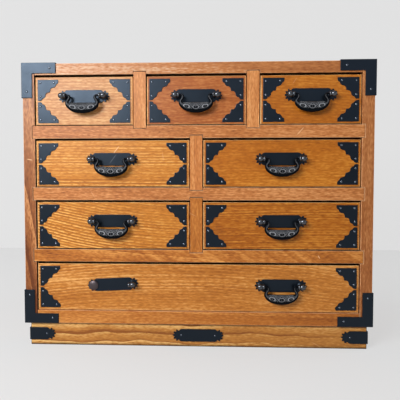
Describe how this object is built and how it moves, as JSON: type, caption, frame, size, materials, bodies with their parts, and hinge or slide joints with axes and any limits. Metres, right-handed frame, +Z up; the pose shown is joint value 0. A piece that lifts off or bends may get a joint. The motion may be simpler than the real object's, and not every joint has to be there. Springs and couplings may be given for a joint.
{
  "type": "sewing chest",
  "caption": "Small wooden sewing chest on a plinth: rows of sliding drawers with scalloped iron corner plates and swinging bail handles, iron-cornered case.",
  "frame": {"origin": "on the floor under the middle of the whole object's box, handles included", "axes": "X along the chest's width with the viewer's right positive, Y from the drawer fronts to the back, Z up"},
  "size_m": [0.553, 0.3236, 0.4515],
  "materials": {
    "case_wood": "oiled reddish brown hardwood, satin",
    "front_wood": "oiled golden brown hardwood with fine grain, satin",
    "inner_wood": "plain pale softwood, unfinished",
    "black_plate_iron": "black lacquered plate iron, satin",
    "black_cast_iron": "black lacquered cast iron, rubbed glossy"
  },
  "bodies": {
    "case": {"left_side": "case_wood", "right_side": "case_wood", "top_board": "case_wood", "bottom_board": "case_wood", "back_panel": "inner_wood", "upper_rail": "case_wood", "middle_rail": "case_wood", "lower_rail": "case_wood", "upper_dust_board": "inner_wood", "middle_dust_board": "inner_wood", "lower_dust_board": "inner_wood", "top_left_partition": "case_wood", "top_right_partition": "case_wood", "second_partition": "case_wood", "third_partition": "case_wood", "plinth_front": "case_wood", "plinth_back": "case_wood", "plinth_left": "case_wood", "plinth_right": "case_wood", "top_left_corner_iron": "black_plate_iron", "top_right_corner_iron": "black_plate_iron", "bottom_left_corner_iron": "black_plate_iron", "bottom_right_corner_iron": "black_plate_iron", "plinth_plate": "black_plate_iron", "plinth_left_wrap": "black_plate_iron", "plinth_right_wrap": "black_plate_iron"},
    "top_left_drawer": {"top_left_front": "front_wood", "top_left_tray": "inner_wood", "top_left_handle_plate": "black_plate_iron"},
    "top_left_bail": {"top_left_bail": "black_cast_iron"},
    "top_middle_drawer": {"top_middle_front": "front_wood", "top_middle_tray": "inner_wood", "top_middle_handle_plate": "black_plate_iron"},
    "top_middle_bail": {"top_middle_bail": "black_cast_iron"},
    "top_right_drawer": {"top_right_front": "front_wood", "top_right_tray": "inner_wood", "top_right_handle_plate": "black_plate_iron"},
    "top_right_bail": {"top_right_bail": "black_cast_iron"},
    "second_left_drawer": {"second_left_front": "front_wood", "second_left_tray": "inner_wood", "second_left_handle_plate": "black_plate_iron"},
    "second_left_bail": {"second_left_bail": "black_cast_iron"},
    "second_right_drawer": {"second_right_front": "front_wood", "second_right_tray": "inner_wood", "second_right_handle_plate": "black_plate_iron"},
    "second_right_bail": {"second_right_bail": "black_cast_iron"},
    "third_left_drawer": {"third_left_front": "front_wood", "third_left_tray": "inner_wood", "third_left_handle_plate": "black_plate_iron"},
    "third_left_bail": {"third_left_bail": "black_cast_iron"},
    "third_right_drawer": {"third_right_front": "front_wood", "third_right_tray": "inner_wood", "third_right_handle_plate": "black_plate_iron"},
    "third_right_bail": {"third_right_bail": "black_cast_iron"},
    "bottom_drawer": {"bottom_front": "front_wood", "bottom_tray": "inner_wood", "bottom_left_handle_plate": "black_plate_iron", "bottom_right_handle_plate": "black_plate_iron", "bottom_left_stud": "black_cast_iron"},
    "bottom_right_bail": {"bottom_right_bail": "black_cast_iron"}
  },
  "joints": [
    {"name": "top_left_drawer_slide", "type": "slide", "parent": "case", "child": "top_left_drawer", "axis": [0, -1, 0], "range_m": [0, 0.21]},
    {"name": "top_middle_drawer_slide", "type": "slide", "parent": "case", "child": "top_middle_drawer", "axis": [0, -1, 0], "range_m": [0, 0.21]},
    {"name": "top_right_drawer_slide", "type": "slide", "parent": "case", "child": "top_right_drawer", "axis": [0, -1, 0], "range_m": [0, 0.21]},
    {"name": "second_left_drawer_slide", "type": "slide", "parent": "case", "child": "second_left_drawer", "axis": [0, -1, 0], "range_m": [0, 0.21]},
    {"name": "second_right_drawer_slide", "type": "slide", "parent": "case", "child": "second_right_drawer", "axis": [0, -1, 0], "range_m": [0, 0.21]},
    {"name": "third_left_drawer_slide", "type": "slide", "parent": "case", "child": "third_left_drawer", "axis": [0, -1, 0], "range_m": [0, 0.21]},
    {"name": "third_right_drawer_slide", "type": "slide", "parent": "case", "child": "third_right_drawer", "axis": [0, -1, 0], "range_m": [0, 0.21]},
    {"name": "bottom_drawer_slide", "type": "slide", "parent": "case", "child": "bottom_drawer", "axis": [0, -1, 0], "range_m": [0, 0.21]},
    {"name": "top_left_bail_swing", "type": "hinge", "parent": "top_left_drawer", "child": "top_left_bail", "pos_m": [-0.17717, -0.15725, 0.3983], "axis": [-1, 0, 0], "range_deg": [-14, 150]},
    {"name": "top_middle_bail_swing", "type": "hinge", "parent": "top_middle_drawer", "child": "top_middle_bail", "pos_m": [0, -0.15725, 0.3983], "axis": [-1, 0, 0], "range_deg": [-14, 150]},
    {"name": "top_right_bail_swing", "type": "hinge", "parent": "top_right_drawer", "child": "top_right_bail", "pos_m": [0.17717, -0.15725, 0.3983], "axis": [-1, 0, 0], "range_deg": [-14, 150]},
    {"name": "second_left_bail_swing", "type": "hinge", "parent": "second_left_drawer", "child": "second_left_bail", "pos_m": [-0.13287, -0.15725, 0.2996], "axis": [-1, 0, 0], "range_deg": [-14, 150]},
    {"name": "second_right_bail_swing", "type": "hinge", "parent": "second_right_drawer", "child": "second_right_bail", "pos_m": [0.13287, -0.15725, 0.2996], "axis": [-1, 0, 0], "range_deg": [-14, 150]},
    {"name": "third_left_bail_swing", "type": "hinge", "parent": "third_left_drawer", "child": "third_left_bail", "pos_m": [-0.13287, -0.15725, 0.2021], "axis": [-1, 0, 0], "range_deg": [-14, 150]},
    {"name": "third_right_bail_swing", "type": "hinge", "parent": "third_right_drawer", "child": "third_right_bail", "pos_m": [0.13287, -0.15725, 0.2021], "axis": [-1, 0, 0], "range_deg": [-14, 150]},
    {"name": "bottom_right_bail_swing", "type": "hinge", "parent": "bottom_drawer", "child": "bottom_right_bail", "pos_m": [0.13287, -0.15725, 0.1007], "axis": [-1, 0, 0], "range_deg": [-14, 150]}
  ]
}
